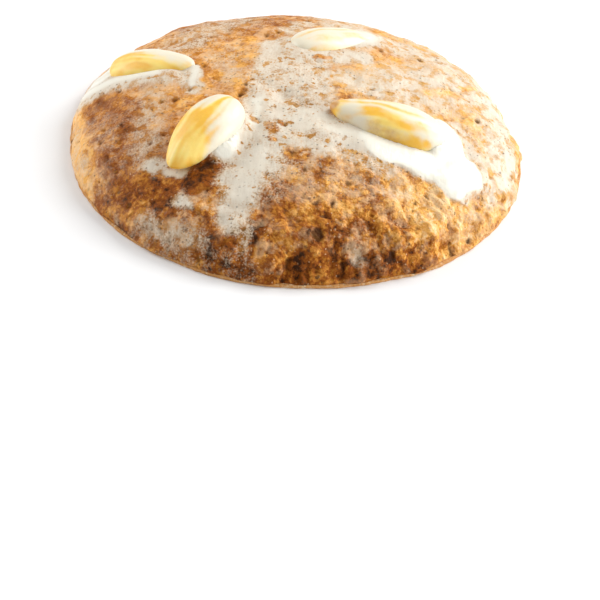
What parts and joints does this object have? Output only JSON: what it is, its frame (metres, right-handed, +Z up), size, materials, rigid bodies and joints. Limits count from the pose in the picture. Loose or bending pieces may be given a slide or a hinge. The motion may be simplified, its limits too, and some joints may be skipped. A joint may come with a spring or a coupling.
{
  "type": "lebkuchen",
  "caption": "Round domed spice biscuit on a thin wafer, with blanched almonds pressed into its rough crust and white sugar glaze pooled around them.",
  "frame": {"origin": "middle of the wafer's underside, on the surface that the biscuit rests on", "axes": "+Z up through the dome, +X to the right and +Y to the back as the picture shows the biscuit"},
  "size_m": [0.0926, 0.0916, 0.019],
  "materials": {
    "dough": "rough browned spice crust with pores, streaked with thin white sugar glaze",
    "wafer": "thin baked wafer, pale underneath and toasted at its edge",
    "almond": "smooth golden blanched almond, partly under white sugar glaze"
  },
  "bodies": {
    "root": {"wafer": "wafer", "dough": "dough", "almond_1": "almond", "almond_2": "almond", "almond_3": "almond", "almond_4": "almond"}
  },
  "joints": []
}
